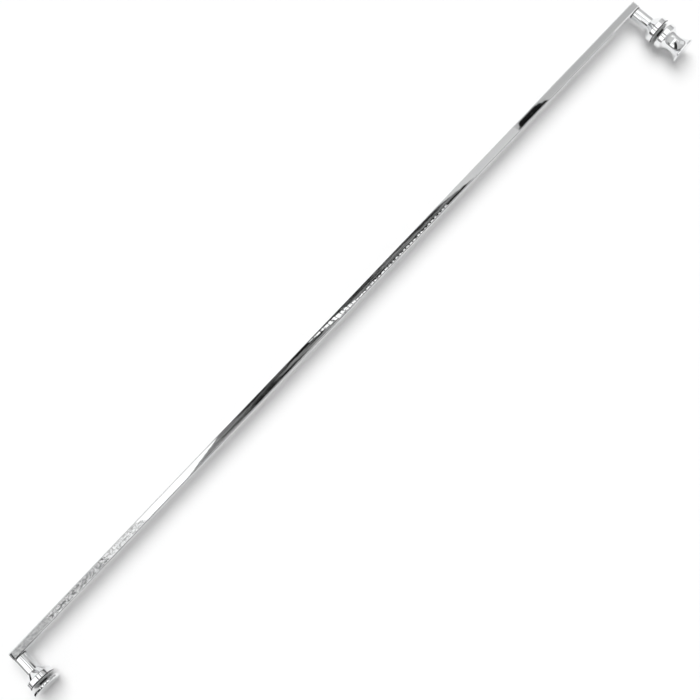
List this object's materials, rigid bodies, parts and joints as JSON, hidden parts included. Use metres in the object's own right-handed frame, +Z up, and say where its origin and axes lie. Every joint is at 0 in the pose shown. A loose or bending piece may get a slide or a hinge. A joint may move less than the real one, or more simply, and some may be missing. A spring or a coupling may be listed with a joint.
{
  "type": "glass door towel bar",
  "caption": "Through-glass towel bar: rectangular chrome tube on two round posts with bell bases, gaskets, a waisted screw-on knob and a screw-on cap disc.",
  "frame": {"origin": "centre of the glass seat at the knob end: the face of the front gasket, on the axis of the glass hole", "axes": "+X along the bar to the cap end, +Y from the bar through the glass to the knob, +Z up, across the width of the bar"},
  "size_m": [1.031, 0.0818, 0.032],
  "materials": {
    "bar_chrome": "polished",
    "turned_chrome": "polished",
    "knob_chrome": "polished",
    "gasket_rubber": "translucent grey",
    "bush_nylon": "satin",
    "zinc_steel": "zinc plated",
    "stainless_stud": "plain"
  },
  "bodies": {
    "bar_frame": {"bar_tube": "bar_chrome", "knob_end_plate": "bar_chrome", "cap_end_plate": "bar_chrome", "knob_end_insert_block": "zinc_steel", "cap_end_insert_block": "zinc_steel", "knob_end_bar_set_screw": "zinc_steel", "cap_end_bar_set_screw": "zinc_steel", "knob_end_post": "turned_chrome", "cap_end_post": "turned_chrome", "knob_end_bell_base": "turned_chrome", "cap_end_bell_base": "turned_chrome", "knob_end_front_gasket": "gasket_rubber", "cap_end_front_gasket": "gasket_rubber", "knob_end_glass_bush": "bush_nylon", "cap_end_glass_bush": "bush_nylon", "knob_stud": "stainless_stud"},
    "knob_gasket": {"knob_end_back_gasket": "gasket_rubber"},
    "knob": {"knob": "knob_chrome"},
    "cap_gasket": {"cap_end_back_gasket": "gasket_rubber"},
    "cap": {"cap_disc": "knob_chrome", "cap_screw": "stainless_stud"}
  },
  "joints": [
    {"name": "knob_travel", "type": "slide", "parent": "bar_frame", "child": "knob_gasket", "axis": [0, 1, 0], "range_m": [0, 0.0101]},
    {"name": "knob_turn", "type": "hinge", "parent": "knob_gasket", "child": "knob", "pos_m": [0, 0, 0], "axis": [0, 1, 0], "range_deg": [0, 3600]},
    {"name": "cap_travel", "type": "slide", "parent": "bar_frame", "child": "cap_gasket", "axis": [0, 1, 0], "range_m": [0, 0.0101]},
    {"name": "cap_turn", "type": "hinge", "parent": "cap_gasket", "child": "cap", "pos_m": [1, 0, 0], "axis": [0, 1, 0], "range_deg": [0, 3600]}
  ],
  "couplings": [
    {"joint": "knob_travel", "follows": "knob_turn", "m_per_rad": 0.00015915},
    {"joint": "cap_travel", "follows": "cap_turn", "m_per_rad": 0.00015915}
  ]
}
